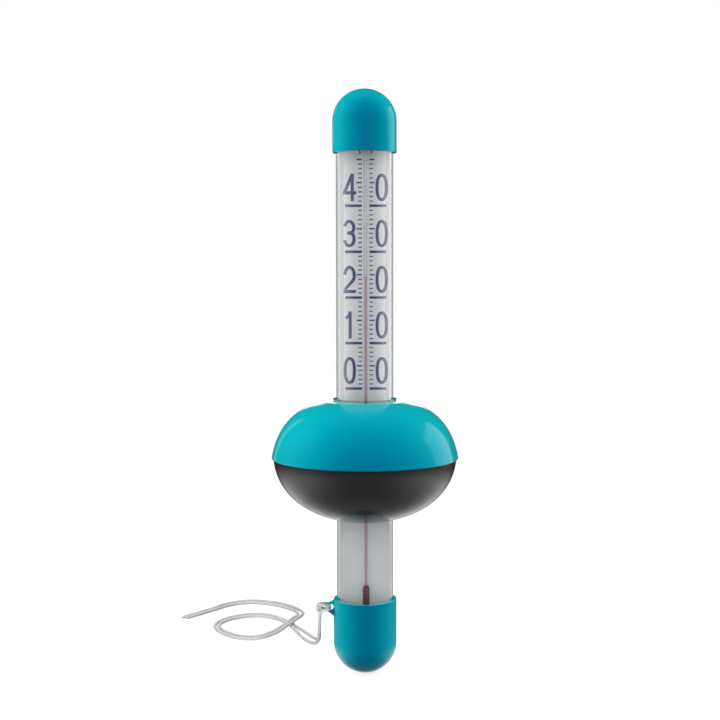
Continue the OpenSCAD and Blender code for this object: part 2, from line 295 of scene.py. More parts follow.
def braided_tube(name, points, round_start, round_end, floor=None):
    """Braided round cord along a route, with heat-sealed round ends where asked."""
    sides, spacing = 36, 0.3
    carriers, lay, relief = 6, 7.5, 0.10
    seal, blunt = 1.0, 0.25     # length of a sealed end, and the part of the radius left at its tip
    centres, at = catmull(points, spacing)
    if floor is not None:
        centres[:, 2] = np.maximum(centres[:, 2], floor)
    along = np.gradient(centres, axis=0)
    along /= np.linalg.norm(along, axis=1)[:, None]
    side = np.zeros_like(along)
    steep = abs(along[0][2]) >= 0.9
    side[0] = np.cross(along[0], (0, 1.0, 0) if steep else (0, 0, 1.0))
    for i in range(1, len(along)):
        side[i] = side[i - 1] - along[i] * (side[i - 1] @ along[i])
        side[i] /= np.linalg.norm(side[i])
    side[0] /= np.linalg.norm(side[0])
    over = np.cross(along, side)
    turn = 2 * np.pi * np.arange(sides) / sides
    wind = 2 * np.pi * carriers * at[:, None] / lay
    right = np.cos(carriers * turn[None, :] + wind)
    left = np.cos(carriers * turn[None, :] - wind)
    radius = CORD_R - relief * (1 - np.maximum(right, left)) / 2
    for asked, distance in ((round_start, at), (round_end, at[-1] - at)):
        if asked:
            t = np.clip(distance / seal, 0, 1)
            radius = radius * (blunt + (1 - blunt) * np.sqrt(1 - (1 - t) ** 2))[:, None]
    round_way = (np.cos(turn)[None, :, None] * side[:, None, :]
                 + np.sin(turn)[None, :, None] * over[:, None, :])
    ring = centres[:, None, :] + radius[:, :, None] * round_way
    if floor is not None:
        ring[:, :, 2] = np.maximum(ring[:, :, 2], 0.0)
    vertices = ring.reshape(-1, 3).tolist()
    faces = []
    for i in range(len(centres) - 1):
        for k in range(sides):
            n = (k + 1) % sides
            faces.append([i * sides + k, i * sides + n, (i + 1) * sides + n, (i + 1) * sides + k])
    last = (len(centres) - 1) * sides
    for end, base, flip in ((0, 0, True), (-1, last, False)):
        vertices.append(centres[end].tolist())
        tip = len(vertices) - 1
        for k in range(sides):
            n = (k + 1) % sides
            faces.append([base + n, base + k, tip] if flip else [base + k, base + n, tip])
    obj = mesh_object(name, vertices, faces, smooth_angle=80.0)
    return obj, centres


# ---------------------------------------------------------------- materials


def shader_of(name, colour, roughness, **values):
    """Material with one Principled shader; uniform numbers sit on its own sockets."""
    material = bpy.data.materials.new(name)
    material.use_nodes = True
    nodes = material.node_tree.nodes
    shader = nodes["Principled BSDF"]
    shader.inputs["Base Color"].default_value = (*colour, 1)
    shader.inputs["Roughness"].default_value = roughness
    for socket, value in values.items():
        shader.inputs[socket.replace("_", " ")].default_value = value
    return material, shader


def noise(material, scale, detail=3.0, stretch=(1, 1, 1)):
    """Noise in the object's own metres; scale is in waves per metre."""
    nodes, links = material.node_tree.nodes, material.node_tree.links
    place = nodes.new("ShaderNodeTexCoord")
    mapping = nodes.new("ShaderNodeMapping")
    mapping.inputs["Scale"].default_value = stretch
    texture = nodes.new("ShaderNodeTexNoise")
    texture.inputs["Scale"].default_value = scale
    texture.inputs["Detail"].default_value = detail
    links.new(place.outputs["Object"], mapping.inputs["Vector"])
    links.new(mapping.outputs["Vector"], texture.inputs["Vector"])
    return texture.outputs["Fac"]


def vary(material, shader, fac, dark, light):
    """Base colour moves between two shades with the noise."""
    span = (0.35, 0.65)
    nodes, links = material.node_tree.nodes, material.node_tree.links
    ramp = nodes.new("ShaderNodeValToRGB")
    ramp.color_ramp.elements[0].position = span[0]
    ramp.color_ramp.elements[1].position = span[1]
    ramp.color_ramp.elements[0].color = (*dark, 1)
    ramp.color_ramp.elements[1].color = (*light, 1)
    links.new(fac, ramp.inputs["Fac"])
    links.new(ramp.outputs["Color"], shader.inputs["Base Color"])


def roughen(material, shader, fac, least, most):
    """Roughness moves between two values with the noise."""
    nodes, links = material.node_tree.nodes, material.node_tree.links
    span = nodes.new("ShaderNodeMapRange")
    span.inputs["From Min"].default_value = 0.3
    span.inputs["From Max"].default_value = 0.7
    span.inputs["To Min"].default_value = least
    span.inputs["To Max"].default_value = most
    links.new(fac, span.inputs["Value"])
    links.new(span.outputs["Result"], shader.inputs["Roughness"])


def bump(material, shader, fac, depth_mm):
    """Fine relief of the noise's full height."""
    nodes, links = material.node_tree.nodes, material.node_tree.links
    relief = nodes.new("ShaderNodeBump")
    relief.inputs["Distance"].default_value = depth_mm * MM
    relief.inputs["Strength"].default_value = 1.0
    links.new(fac, relief.inputs["Height"])
    links.new(relief.outputs["Normal"], shader.inputs["Normal"])


def shadeless_glass(material, shader):
    """Lets lamp light through clear parts, so what is inside them stays lit."""
    nodes, links = material.node_tree.nodes, material.node_tree.links
    path = nodes.new("ShaderNodeLightPath")
    clear = nodes.new("ShaderNodeBsdfTransparent")
    mix = nodes.new("ShaderNodeMixShader")
    links.new(path.outputs["Is Shadow Ray"], mix.inputs["Fac"])
    links.new(shader.outputs["BSDF"], mix.inputs[1])
    links.new(clear.outputs["BSDF"], mix.inputs[2])
    links.new(mix.outputs["Shader"], nodes["Material Output"].inputs["Surface"])


def moulded_plastic(name, dark, light, roughness, grain_mm, **values):
    """Glossy injection moulding: faint flow marks, a very fine grain and uneven gloss."""
    material, shader = shader_of(name, light, roughness, **values)
    vary(material, shader, noise(material, 45, 2.0, (1, 1, 0.35)), dark, light)
    roughen(material, shader, noise(material, 220), roughness * 0.8, roughness * 1.25)
    bump(material, shader, noise(material, 900, 2.0), grain_mm)
    return material


def turquoise_plastic():
    return moulded_plastic("turquoise_plastic", (0.0, 0.41, 0.425), (0.0, 0.43, 0.445), 0.13, 0.004,
                           Specular_Tint=(0.0, 0.8, 1.0, 1.0))


def dark_plastic():
    return moulded_plastic("dark_grey_plastic", (0.018, 0.018, 0.018), (0.022, 0.0215, 0.0215),
                           0.17, 0.004)


def clear_acrylic():
    material, shader = shader_of("clear_acrylic", (0.97, 0.99, 0.99), 0.02,
                                 Transmission_Weight=1.0, IOR=1.49)
    roughen(material, shader, noise(material, 160, 4.0, (1, 1, 0.1)), 0.0, 0.05)
    bump(material, shader, noise(material, 120, 2.0, (1, 1, 0.05)), 0.003)
    shadeless_glass(material, shader)
    return material


def tinted_acrylic():
    material, shader = shader_of("tinted_acrylic", (0.80, 0.95, 0.98), 0.05,
                                 Transmission_Weight=1.0, IOR=1.3)
    roughen(material, shader, noise(material, 160, 4.0), 0.03, 0.1)
    bump(material, shader, noise(material, 150, 2.0), 0.004)
    shadeless_glass(material, shader)
    return material


def stem_glass():
    material, shader = shader_of("stem_glass", (0.97, 0.98, 0.98), 0.01,
                                 Transmission_Weight=1.0, IOR=1.38)
    roughen(material, shader, noise(material, 300, 3.0, (1, 1, 0.1)), 0.0, 0.03)
    bump(material, shader, noise(material, 200, 2.0, (1, 1, 0.05)), 0.002)
    shadeless_glass(material, shader)
    return material


def plate_sheet():
    material, shader = shader_of("plate_sheet", (0.80, 0.79, 0.80), 0.45)
    vary(material, shader, noise(material, 60, 4.0), (0.775, 0.765, 0.775), (0.815, 0.805, 0.815))
    roughen(material, shader, noise(material, 500), 0.4, 0.52)
    bump(material, shader, noise(material, 2500, 2.0), 0.006)
    return material


def scale_ink():
    material, shader = shader_of("scale_ink", (0.022, 0.030, 0.15), 0.4)
    vary(material, shader, noise(material, 1400, 3.0), (0.018, 0.025, 0.13), (0.028, 0.037, 0.18))
    bump(material, shader, noise(material, 3000, 2.0), 0.004)
    return material


def white_moulding():
    return moulded_plastic("white_moulding", (0.74, 0.74, 0.73), (0.80, 0.80, 0.79), 0.4, 0.01)


def red_spirit():
    """Thin thread of dyed spirit: light passes through and comes out pink."""
    material, shader = shader_of("red_spirit", (0.90, 0.55, 0.68), 0.0,
                                 Transmission_Weight=1.0, IOR=1.36)
    vary(material, shader, noise(material, 400, 2.0), (0.88, 0.52, 0.66), (0.92, 0.58, 0.70))
    shadeless_glass(material, shader)
    return material


def bulb_spirit():
    material, shader = shader_of("bulb_spirit", (0.11, 0.001, 0.032), 0.1)
    vary(material, shader, noise(material, 300, 2.0), (0.095, 0.001, 0.028), (0.125, 0.002, 0.036))
    return material


def spring_wire():
    material, shader = shader_of("spring_wire", (0.03, 0.032, 0.036), 0.35, Metallic=0.6)
    vary(material, shader, noise(material, 900, 3.0), (0.02, 0.022, 0.025), (0.04, 0.042, 0.046))
    bump(material, shader, noise(material, 2500, 2.0), 0.004)
    return material


def ballast_steel():
    material, shader = shader_of("ballast_steel", (0.32, 0.32, 0.33), 0.4, Metallic=1.0)
    vary(material, shader, noise(material, 250, 5.0), (0.24, 0.24, 0.25), (0.38, 0.38, 0.39))
    roughen(material, shader, noise(material, 500, 4.0, (1, 1, 6)), 0.3, 0.5)
    bump(material, shader, noise(material, 1200, 3.0, (1, 1, 6)), 0.01)
    return material


def black_rubber():
    material, shader = shader_of("black_rubber", (0.02, 0.02, 0.021), 0.6)
    vary(material, shader, noise(material, 300, 3.0), (0.016, 0.016, 0.017), (0.030, 0.030, 0.031))
    bump(material, shader, noise(material, 1800, 3.0), 0.01)
    return material


def grey_foam():
    material, shader = shader_of("grey_foam", (0.30, 0.30, 0.31), 0.9)
    vary(material, shader, noise(material, 900, 4.0), (0.22, 0.22, 0.23), (0.36, 0.36, 0.37))
    bump(material, shader, noise(material, 1500, 4.0), 0.08)
    return material


def braided_cord():
    material, shader = shader_of("braided_cord", (0.78, 0.79, 0.79), 0.7,
                                 Sheen_Weight=0.25, Sheen_Roughness=0.5)
    vary(material, shader, noise(material, 700, 4.0), (0.68, 0.69, 0.69), (0.82, 0.825, 0.825))
    bump(material, shader, noise(material, 5000, 3.0), 0.03)
    return material


MATERIALS = {
    "turquoise_plastic": turquoise_plastic(),
    "dark_grey_plastic": dark_plastic(),
    "clear_plastic": clear_acrylic(),
    "clear_glass": stem_glass(),
    "white_plate": plate_sheet(),
    "scale_ink": scale_ink(),
    "white_plastic": white_moulding(),
    "red_spirit": red_spirit(),
    "steel_wire": spring_wire(),
    "ballast_steel": ballast_steel(),
    "black_rubber": black_rubber(),
    "grey_foam": grey_foam(),
    "white_cord": braided_cord(),
}


def dress(obj, slot, *nodes, material=None):
    """Gives a piece its material, the slot's own unless one is given, and hides the nodes that it stands
    for.
    """
    obj.data.materials.append(material or MATERIALS[slot])
    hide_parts(*nodes)


# ---------------------------------------------------------------- camera and cord


def make_camera():
    data = bpy.data.cameras.new("camera")
    data.lens = CAMERA_LENS
    data.sensor_width = 36
    data.clip_start, data.clip_end = 0.01, 50
    camera = bpy.data.objects.new("camera", data)
    camera.location = [MM * c for c in CAMERA_AT]
    camera.rotation_euler = (math.radians(90 - CAMERA_PITCH), math.radians(CAMERA_ROLL), 0)
    bpy.context.scene.collection.objects.link(camera)
    bpy.context.scene.camera = camera


def make_cord():
    """One cord, doubled: a hitch on the eye and two strands that lie loose on the floor."""
    hitch, _ = braided_tube("cord_hitch_braid", HITCH_ROUTE, False, False)
    dress(hitch, "white_cord", "cord_hitch")
    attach(hitch, "root")
    strands = (("cord_strand_a", ROUTE_A, [hitch]), ("cord_strand_b", ROUTE_B, []))
    for node, route, pieces in strands:
        strand, centres = braided_tube(node + "_braid", route, False, True, FLOOR_CORD_Z)
        dress(strand, "white_cord", node)
        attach(strand, "root")


# ---------------------------------------------------------------- pieces


def cap_profile(crown, rim, up):
    """Outlines of a dome cap: the outside from the rim to the crown, and the hollow back to its seat."""
    s = 1 if up else -1
    centre = crown - s * CAP_R
    shelf = crown - s * CAP_SHELF
    # gate mark: a shallow round dimple at the crown
    mark_r, mark_depth, mark_slope, mark_dish = 1.4, 0.15, 0.12, 0.02
    inner_r = CAP_R - CAP_DOME_WALL
    shelf_angle = math.degrees(math.asin(min(1.0, abs(shelf - centre) / inner_r)))
    mark_angle = math.degrees(math.acos(mark_r / CAP_R))
    outer = [(r, centre + s * (z - centre)) for r, z in arc(centre, CAP_R, 0, mark_angle, 40)]
    inner = [(r, centre + s * (z - centre)) for r, z in arc(centre, inner_r, 90, shelf_angle, 30)]
    mark_z = outer[-1][1]
    rim_outline = outline([
        (SEAT_R, shelf, 0), (SEAT_R, rim, 0.25), (CAP_R, rim, 0.45), (CAP_R, centre, 0),
    ], closed=False)[1:-1]
    mark = [(mark_r - mark_slope, mark_z - s * mark_depth),
            (0.0, mark_z - s * (mark_depth + mark_dish))]
    wall = rim_outline + outer + mark
    hollow = inner + [(SEAT_R, shelf)]
    return wall, hollow


def make_cap(name, crown, rim, up):
    """Dome cap as one closed skin: outside wall to the crown, then the hollow back to the rim."""
    wall, hollow = cap_profile(crown, rim, up)
    points = wall + [(0.0, hollow[0][1])] + hollow[1:]
    # the outline meets the axis twice, at the crown and at the top of the hollow
    on_axis = [i for i, p in enumerate(points) if p[0] <= 1e-6]
    cap = lathe(name, [points[on_axis[-1]:] + points[:on_axis[0] + 1]])
    face_outward(cap)
    return cap


def lug_outline():
    """Ear on the lower cap, seen along its eye: (x, z) points, the tip first."""
    tip_x, tip_r, tip_steps = EYE_X - 2.8, 1.8, 16
    root_x, foot_z, top_z = -CAP_R + 1, 33.6, 45.1
    lean = 50                   # degrees of the tip's arc either side of its middle
    rows, waist = 12, 0.45      # points along each flank, and how far the flanks curve in
    points = []
    for k in range(tip_steps + 1):
        t = math.radians(180 + lean - 2 * lean * k / tip_steps)
        points.append((tip_x + tip_r * math.cos(t), EYE_Z + tip_r * math.sin(t)))
    upper_start = Vector(points[-1])
    lower_start = Vector(points[0])
    upper = [upper_start.lerp(Vector((root_x, top_z)), k / rows) for k in range(1, rows + 1)]
    lower = [Vector((root_x, foot_z)).lerp(lower_start, k / rows) for k in range(rows)]
    for row in (upper, lower):
        for i, p in enumerate(row):
            hollow = math.sin(math.pi * (i + 1) / (rows + 1)) * waist
            p.y += -hollow if row is upper else hollow
    return points + [tuple(p) for p in upper] + [tuple(p) for p in lower]


def ray_hit(loop, centre, angle):
    """Distance from centre to the loop along a direction."""
    d = Vector((math.cos(angle), math.sin(angle)))
    best = 0.0
    for i in range(len(loop)):
        a, b = Vector(loop[i - 1]) - centre, Vector(loop[i]) - centre
        e = b - a
        det = d.x * -e.y + d.y * e.x
        if abs(det) < 1e-9:
            continue
        t = (a.x * -e.y + a.y * e.x) / det
        u = (d.x * a.y - d.y * a.x) / det
        if -1e-9 <= u <= 1 + 1e-9 and t > best:
            best = t
    return best


def make_lug():
    """Rounded ear with its eye, a little thicker where it grows out of the cap."""
    centre = Vector((EYE_X, EYE_Z))
    loop = lug_outline()
    count, edge, edge_steps, face_steps = 96, 0.45, 5, 6
    flare_out, flare_over, flare_gain = 1.5, 1.6, 0.45
    half = LUG_T / 2
    angles = [2 * math.pi * k / count for k in range(count)]
    reach = [ray_hit(loop, centre, a) for a in angles]
    # section of the ear from the eye's middle plane over the front face to the outer edge
    section = [(0.0, half - edge)]
    section += [(edge * (1 - math.cos(t)), half - edge + edge * math.sin(t))
                for t in (math.pi / 2 * k / edge_steps for k in range(1, edge_steps + 1))]
    vertices, rings = [], []

    def add_ring(radii, y):
        start = len(vertices)
        for a, r in zip(angles, radii):
            x, z = EYE_X + r * math.cos(a), EYE_Z + r * math.sin(a)
            flare = max(0.0, min(1.0, (x + CAP_R + flare_out) / flare_over)) ** 2
            vertices.append((x, y * (1 + flare_gain * flare), z))
        rings.append(range(start, start + count))

    def at_eye(inset):
        return [EYE_R + inset] * count

    def at_rim(inset):
        return [far - inset for far in reach]

    def on_face(fraction):
        inner = EYE_R + edge
        return [inner + (far - edge - inner) * fraction for far in reach]

    for inset, y in section:
        add_ring(at_eye(inset), y)
    for k in range(1, face_steps):
        add_ring(on_face(k / face_steps), half)
    for inset, y in reversed(section):
        add_ring(at_rim(inset), y)
    for inset, y in section:
        add_ring(at_rim(inset), -y)
    for k in range(face_steps - 1, 0, -1):
        add_ring(on_face(k / face_steps), -half)
    for inset, y in reversed(section):
        add_ring(at_eye(inset), -y)
    faces = []
    for i in range(len(rings)):
        a, b = rings[i], rings[(i + 1) % len(rings)]
        for k in range(count):
            n = (k + 1) % count
            faces.append([a[k], b[k], b[n], a[n]])
    lug = mesh_object("lug", vertices, faces)
    face_outward(lug)
    return lug


def joined(base, extra):
    """Union of two closed pieces as one mesh; the second object is removed."""
    modifier = base.modifiers.new("union", "BOOLEAN")
    modifier.operation = "UNION"
    modifier.solver = "EXACT"
    modifier.object = extra
    bpy.context.view_layer.update()
    shown = base.evaluated_get(bpy.context.evaluated_depsgraph_get())
    mesh = bpy.data.meshes.new_from_object(shown)
    base.modifiers.clear()
    name = base.name
    bpy.data.objects.remove(extra)
    bpy.data.objects.remove(base)
    return finish_mesh(name, mesh)


def make_caps():
    top = make_cap("top_cap_moulding", CROWN_Z, TOP_RIM_Z, True)
    dress(top, "turquoise_plastic", "top_cap")
    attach(top, "root")
    bottom = joined(make_cap("bottom_cap_moulding", 0.0, BOTTOM_RIM_Z, False), make_lug())
    dress(bottom, "turquoise_plastic", "bottom_cap")
    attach(bottom, "root")


def make_tube():
    inner = TUBE_R - TUBE_WALL
    wall = outline([(inner, TUBE_Z[0], 0.2), (TUBE_R, TUBE_Z[0], 0.2),
                    (TUBE_R, TUBE_Z[1], 0.2), (inner, TUBE_Z[1], 0.2)])
    tube = lathe("outer_tube_clear", [wall])
    dress(tube, "clear_plastic", "outer_tube")
    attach(tube, "root")
    ring = outline([(SEAT_R, COLLAR_Z[0], 0.1), (CAP_R, COLLAR_Z[0], 0.15),
                    (CAP_R, COLLAR_Z[1], 0.5), (SEAT_R, COLLAR_Z[1], 0.2)])
    collar = lathe("collar_ring_clear", [ring])
    dress(collar, "clear_plastic", "collar_ring", material=tinted_acrylic())
    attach(collar, "root")


def make_float():
    """Two turned shells on the same superellipses as the frame, with rounded edges."""
    inner_a, inner_c = UP_A - SHELL_WALL, UP_C - SHELL_WALL
    roof = UP_Z0 + oval_height(HUB_R, inner_a, inner_c, UP_M)
    inner = oval(inner_a, inner_c, UP_M, UP_Z0, LEDGE_Z, roof)
    outer = oval(UP_A, UP_C, UP_M, UP_Z0, SEAM_Z, FLOAT_TOP_Z)
    skirt = outline([(SKIRT_R, LEDGE_Z, 0), (SKIRT_R, SEAM_Z, 0.3), (*outer[0], 0.4), (*outer[3], 0)],
                    closed=False)
    seat_z = SEAM_Z + HUB_SEAL_H
    top = outline([(*outer[-1], 0), (SEAT_R, FLOAT_TOP_Z, 0.3), (SEAT_R, seat_z, 0.2),
                   (HUB_R, seat_z, 0.2), (HUB_R, roof, 0)], closed=False)
    upper = skirt[:-1] + outer[3:-1] + top[:-1] + inner[::-1]
    shell = lathe("float_top_moulding", [upper], turns=FLOAT_TURNS)
    dress(shell, "turquoise_plastic", "float_upper_shell")
    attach(shell, "root")

    inner_a, inner_c = LOW_A - SHELL_WALL, LOW_C - SHELL_WALL
    floor = LOW_Z0 - oval_height(HUB_R, inner_a, inner_c, LOW_M)
    inner = oval(inner_a, inner_c, LOW_M, LOW_Z0, SEAM_Z, floor)
    outer = oval(LOW_A, LOW_C, LOW_M, LOW_Z0, SEAM_Z, FLOAT_FOOT_Z)
    neck = outline([(NECK_R, SEAM_Z, 0), (NECK_R, NECK_Z, 0.3), (inner[0][0], NECK_Z, 0.2), (*inner[0], 0)],
                   closed=False)
    foot = outline([(SEAT_R, SEAM_Z, 0), (SEAT_R, FLOAT_FOOT_Z, 0.3), (*outer[-1], 0)], closed=False)
    lower = foot[:-1] + outer[::-1] + neck[:-1] + inner + [(HUB_R, SEAM_Z)]
    bowl = lathe("float_bottom_moulding", [lower], turns=FLOAT_TURNS)
    dress(bowl, "dark_grey_plastic", "float_lower_shell")
    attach(bowl, "root")


def stem_profile(bulb, stem, neck_z, top_z, tip):
    """Half outline from the foot of the bulb to the tip of the stem, with a soft shoulder."""
    centre = BULB_FOOT_Z + BULB_R
    steps, rows = 24, 40
    points = arc(centre, bulb, -90, 0, steps)
    for k in range(steps + 1):
        t = k / steps
        ease = t * t * (3 - 2 * t)
        points.append((bulb + (stem - bulb) * ease, BULB_TOP_Z + (neck_z - BULB_TOP_Z) * t))
    points += [(stem, neck_z + (top_z - neck_z) * k / rows) for k in range(1, rows + 1)]
    if tip:
        points += arc(top_z, stem, 0, 90, steps)[1:]
    else:
        points.append((0.0, top_z))
    return points


def make_stem():
    """Glass stem with its bore and bulb, the spirit in the bulb, and the column that rises."""
    turns, at = 48, (STEM_X, STEM_Y)
    straight_top = STEM_TOP_Z - STEM_R
    outside = stem_profile(BULB_R, STEM_R, BULB_NECK_Z, straight_top, True)
    bore = stem_profile(BULB_R - BULB_WALL, STEM_BORE_R, BULB_NECK_Z - 1, straight_top - 1, True)
    glass = lathe("glass_stem_drawn", [outside, bore[::-1]], at, turns)
    dress(glass, "clear_glass", "glass_stem")
    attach(glass, "root")

    spirit = stem_profile(BULB_R - BULB_WALL + WETTED, STEM_BORE_R + WETTED,
                          BULB_NECK_Z - 1, BULB_NECK_Z - 0.9, False)
    bulb = lathe("bulb_spirit_fill", [spirit], at, turns)
    dress(bulb, "red_spirit", "bulb_liquid", material=bulb_spirit())
    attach(bulb, "root")

    foot, top = COLUMN_Z
    radius, rows = STEM_BORE_R + WETTED, 60
    meniscus, lowest = 0.24, 0.26
    column = [(0.0, foot)] + [(radius, foot + (top - foot) * k / rows) for k in range(rows + 1)]
    column += [(radius * math.cos(t), top - meniscus * math.sin(t)) for t in (0.4, 0.8, 1.2)]
    column += [(0.0, top - lowest)]
    thread = lathe("spirit_thread", [column], at, turns)
    dress(thread, "red_spirit", "liquid_column")
    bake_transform(thread)


# ---------------------------------------------------------------- printed scale


DIGIT_H, DIGIT_W, STROKE = 16.2, 7.4, 1.85
DIGIT_OFF = 9.6                 # digit centres either side of the stem
DIGIT_RISE = 2.7                # foot of a digit above its ten degree line
TICK_LENGTH = (2.15, 3.15, 10.05)   # a single degree's line, a fifth's and a tenth's
TICK_HEIGHT = (0.65, 0.85, 1.5)
INK_T = 0.06
INK_STEP = 0.004                # how much each further stroke of a numeral stands over the last
INK_GAP = 0.002                 # air under the ink
DEGREES, TENS = 50, 5


def ellipse(cx, cz, rx, rz, start, stop, steps=20, power=1.0):
    """Arc of an ellipse, or of a squarer oval when power is below 1; angles in degrees."""
    points = []
    for k in range(steps + 1):
        t = math.radians(start + (stop - start) * k / steps)
        c, s = math.cos(t), math.sin(t)
        points.append((cx + rx * math.copysign(abs(c) ** power, c),
                       cz + rz * math.copysign(abs(s) ** power, s)))
    return points


def digit_strokes(digit):
    """Centre lines of a plain numeral about its own middle, its foot at zero height."""
    half = STROKE / 2
    rx, top = DIGIT_W / 2 - half, DIGIT_H - half
    middle = DIGIT_H / 2
    if digit == 0:
        return [ellipse(0, middle, rx, middle - half, 90, 450, 56, 0.86)]
    if digit == 1:
        flag = ellipse(-2.6, DIGIT_H, 2.6, 3.6, 0, -90, 12)
        return [[(0.3, 0), (0.3, DIGIT_H)], [(x + 0.25, z) for x, z in flag]]
    if digit == 2:
        bowl = ellipse(0, top - 4.9, rx, 4.9, 175, -25, 30)
        sweep = [bowl[-1], (1.35, 6.6), (-0.6, 4.5), (-2.3, 2.6), (-2.85, 1.0)]
        tail = [tuple(p[:2]) for p in catmull([(x, z, 0) for x, z in sweep], 0.35)[0]]
        return [bowl + tail[1:], [(-rx - half, half), (rx + half, half)]]
    if digit == 3:
        upper = ellipse(-0.1, top - 3.65, rx - 0.15, 3.65, 168, -90, 30)
        lower = ellipse(-0.1, half + 3.95, rx + 0.05, 3.95, 90, -170, 30)
        waist = (top - 7.3 + half + 7.9) / 2
        return [upper, lower, [(-1.3, waist), (0.2, waist)]]
    return [[(1.7, 0), (1.7, DIGIT_H)], [(1.55, top + 0.3), (-3.0, 5.0)], [(-3.7, 4.9), (4.0, 4.9)]]


def ribbon(points, width, front, back):
    """Flat closed stroke of constant width along a centre line of (x, z) points."""
    line = np.array(points, float)
    closed = np.linalg.norm(line[0] - line[-1]) < 1e-6
    if closed:
        line = line[:-1]
        step = np.roll(line, -1, axis=0) - np.roll(line, 1, axis=0)
    else:
        step = np.gradient(line, axis=0)
    step /= np.linalg.norm(step, axis=1)[:, None]
    normal = np.stack([-step[:, 1], step[:, 0]], axis=1) * width / 2
    vertices = []
    for p, n in zip(line, normal):
        for y in (front, back):
            for side in (1, -1):
                vertices.append((p[0] + side * n[0], y, p[1] + side * n[1]))
    count = len(line)
    faces = []
    for i in range(count if closed else count - 1):
        a, b = 4 * i, 4 * ((i + 1) % count)
        faces += [[a, a + 1, b + 1, b], [a + 1, a + 3, b + 3, b + 1],
                  [a + 3, a + 2, b + 2, b + 3], [a + 2, a, b, b + 2]]
    if not closed:
        end = 4 * (count - 1)
        faces += [[0, 2, 3, 1], [end, end + 1, end + 3, end + 2]]
    return vertices, faces


def make_print():
    """Degree lines and plain numerals as a thin layer of ink on the plate."""
    vertices, faces = [], []

    def add(points, width, layer):
        new, quads = ribbon(points, width, PLATE_Y - INK_T - INK_STEP * layer, PLATE_Y - INK_GAP)
        base = len(vertices)
        vertices.extend(new)
        faces.extend([[base + i for i in q] for q in quads])

    for degree in range(DEGREES + 1):
        grade = 2 if degree % 10 == 0 and degree < DEGREES else 1 if degree % 5 == 0 else 0
        z = ZERO_Z + degree * DEGREE_H
        for side in (-1, 1):
            start = STEM_X + side * CHANNEL
            add([(start, z), (start + side * TICK_LENGTH[grade], z)], TICK_HEIGHT[grade], 0)
    for tens in range(TENS):
        foot = ZERO_Z + tens * 10 * DEGREE_H + DIGIT_RISE
        for digit, side in ((tens, -1), (0, 1)):
            for layer, stroke in enumerate(digit_strokes(digit)):
                middle = STEM_X + side * DIGIT_OFF
                add([(middle + x, foot + z) for x, z in stroke], STROKE, layer)
    ink = mesh_object("scale_print", vertices, faces)
    face_outward(ink)
    dress(ink, "scale_ink", "scale_markings")
    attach(ink, "root")


def dress_frame():
    """Better materials on the CAD nodes whose shape is already right."""
    carried = {
        "scale_plate": "white_plate", "stem_clips": "steel_wire", "bulb_cushion": "black_rubber",
        "upper_plate_holder": "white_plastic", "lower_plate_holder": "white_plastic",
        "top_seal": "black_rubber", "bottom_seal": "black_rubber",
        "float_rim_seal": "black_rubber", "float_hub_seal": "black_rubber",
        "ballast_weight": "ballast_steel", "ballast_pad": "grey_foam",
    }
    for node, slot in carried.items():
        slots = frame["nodes"][node].material_slots
        for s in slots:
            s.material = MATERIALS[slot]
        if not slots:
            frame["nodes"][node].data.materials.append(MATERIALS[slot])


# ---------------------------------------------------------------- studio


FLOAT_TOP = "float_top_moulding"
TURQUOISE = ("top_cap_moulding", "bottom_cap_moulding", FLOAT_TOP)
CLEAR = ("outer_tube_clear", "collar_ring_clear")
AIM_Z = 0.18                    # height that every softbox faces, in metres


def mesh_group(name, wanted):
    """Collection of the meshes whose names are wanted; it stays out of the scene."""
    group = bpy.data.collections.new(name)
    for obj in bpy.context.scene.objects:
        if obj.type == "MESH" and wanted(obj.name):
            group.objects.link(obj)
    return group


def softbox(name, azimuth, elevation, distance, width, height, radiance, colour=(1, 1, 1),
            glossy=False, wanted=None, ramp=None, through_floor=False):
    """Softbox facing the object, at an azimuth of 0 on the camera's side and of 90 on +X.

    It either lights the pieces or, when glossy, is only mirrored in them.
    """
    data = bpy.data.lights.new(name, "AREA")
    data.shape = "RECTANGLE"
    data.size, data.size_y = width, height
    data.energy = radiance * math.pi * width * height
    data.color = colour
    light = bpy.data.objects.new(name, data)
    a, e = math.radians(azimuth), math.radians(elevation)
    away = Vector((math.sin(a) * math.cos(e), -math.cos(a) * math.cos(e), math.sin(e)))
    light.location = Vector((0, 0, AIM_Z)) + away * distance
    light.rotation_euler = away.to_track_quat("Z", "Y").to_euler()
    light.visible_camera = False
    light.visible_transmission = False
    light.visible_glossy = glossy
    light.visible_diffuse = not glossy
    if wanted:
        light.light_linking.receiver_collection = mesh_group(name + "_receivers", wanted)
    if through_floor:
        light.light_linking.blocker_collection = mesh_group(name + "_blockers", not_floor)
    if ramp:
        fade_across(data, *ramp)
    bpy.context.scene.collection.objects.link(light)


def fade_across(data, first, last):
    """Lamp strength that runs evenly from one value to another across the softbox."""
    data.use_nodes = True
    nodes, links = data.node_tree.nodes, data.node_tree.links
    place = nodes.new("ShaderNodeNewGeometry")
    parts = nodes.new("ShaderNodeSeparateXYZ")
    links.new(place.outputs["Parametric"], parts.inputs["Vector"])
    span = nodes.new("ShaderNodeMapRange")
    span.inputs["To Min"].default_value = first
    span.inputs["To Max"].default_value = last
    links.new(parts.outputs["X"], span.inputs["Value"])
    links.new(span.outputs["Result"], nodes["Emission"].inputs["Strength"])


def cord(name):
    return name.startswith("cord")


def not_cord(name):
    return not cord(name)


def turquoise(name):
    return name in TURQUOISE


def neither(name):
    return not (cord(name) or turquoise(name))


def clear(name):
    return name in CLEAR


def float_top(name):
    return name == FLOAT_TOP


def not_floor(name):
    return name != "floor"


